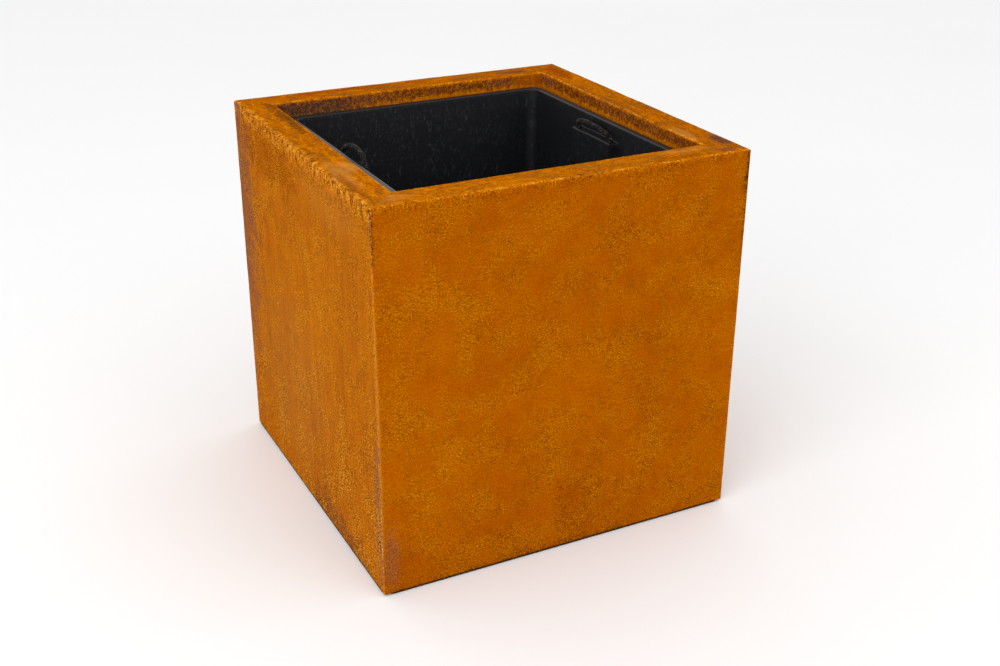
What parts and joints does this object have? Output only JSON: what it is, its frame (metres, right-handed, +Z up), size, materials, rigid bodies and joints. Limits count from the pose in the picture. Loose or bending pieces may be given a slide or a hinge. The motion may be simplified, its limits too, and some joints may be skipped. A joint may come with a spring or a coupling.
{
  "type": "planter box",
  "caption": "Cube-shaped planter of folded weathering steel with a flat mitred rim and a loose black plastic liner that lifts out by rope handles.",
  "frame": {"origin": "centre of the shell's footprint, on the ground", "axes": "+Z up out of the planter's mouth, -Y out of the front panel, +X out of the right panel; the rope handles are on the left and right"},
  "size_m": [0.5, 0.5, 0.5],
  "materials": {
    "rusted_steel": "matt orange-brown rust patina on weathering steel, mottled, darker at the edges",
    "weld": "matt dark brown rusted weld bead",
    "rusted_bracket": "matt brown rust patina",
    "galvanised_steel": "dull galvanised",
    "zinc_plated": "satin zinc plate",
    "black_plastic": "satin black moulded plastic with fine scuffs",
    "rope": "dark braided cord with tan flecks"
  },
  "bodies": {
    "shell": {"front_panel": "rusted_steel", "back_panel": "rusted_steel", "left_panel": "rusted_steel", "right_panel": "rusted_steel", "front_left_weld": "weld", "front_right_weld": "weld", "back_left_weld": "weld", "back_right_weld": "weld", "front_rail": "galvanised_steel", "back_rail": "galvanised_steel", "front_left_cleat": "rusted_bracket", "front_right_cleat": "rusted_bracket", "back_left_cleat": "rusted_bracket", "back_right_cleat": "rusted_bracket", "rail_bolts": "zinc_plated", "rail_washers": "zinc_plated", "rail_nuts": "zinc_plated"},
    "liner": {"liner": "black_plastic"},
    "left_rope": {"left_rope_front_end": "rope", "left_rope_back_end": "rope"},
    "left_arch": {"left_rope_arch": "rope"},
    "right_rope": {"right_rope_front_end": "rope", "right_rope_back_end": "rope"},
    "right_arch": {"right_rope_arch": "rope"}
  },
  "joints": [
    {"name": "liner_lift", "type": "slide", "parent": "shell", "child": "liner", "axis": [0, 0, 1], "range_m": [0, 0.4]},
    {"name": "left_rope_pull", "type": "slide", "parent": "liner", "child": "left_rope", "axis": [0, 0, 1], "range_m": [0, 0.016]},
    {"name": "left_rope_swing", "type": "hinge", "parent": "left_rope", "child": "left_arch", "pos_m": [-0.17535, -0.00235, 0.4658], "axis": [-0.0105, 0.9999, 0], "range_deg": [-22, 70], "stiffness_Nm_per_rad": 0.02},
    {"name": "right_rope_pull", "type": "slide", "parent": "liner", "child": "right_rope", "axis": [0, 0, 1], "range_m": [0, 0.016]},
    {"name": "right_rope_swing", "type": "hinge", "parent": "right_rope", "child": "right_arch", "pos_m": [0.17735, 0.00135, 0.4658], "axis": [0.0105, -0.9999, 0], "range_deg": [-38, 54], "stiffness_Nm_per_rad": 0.02}
  ]
}
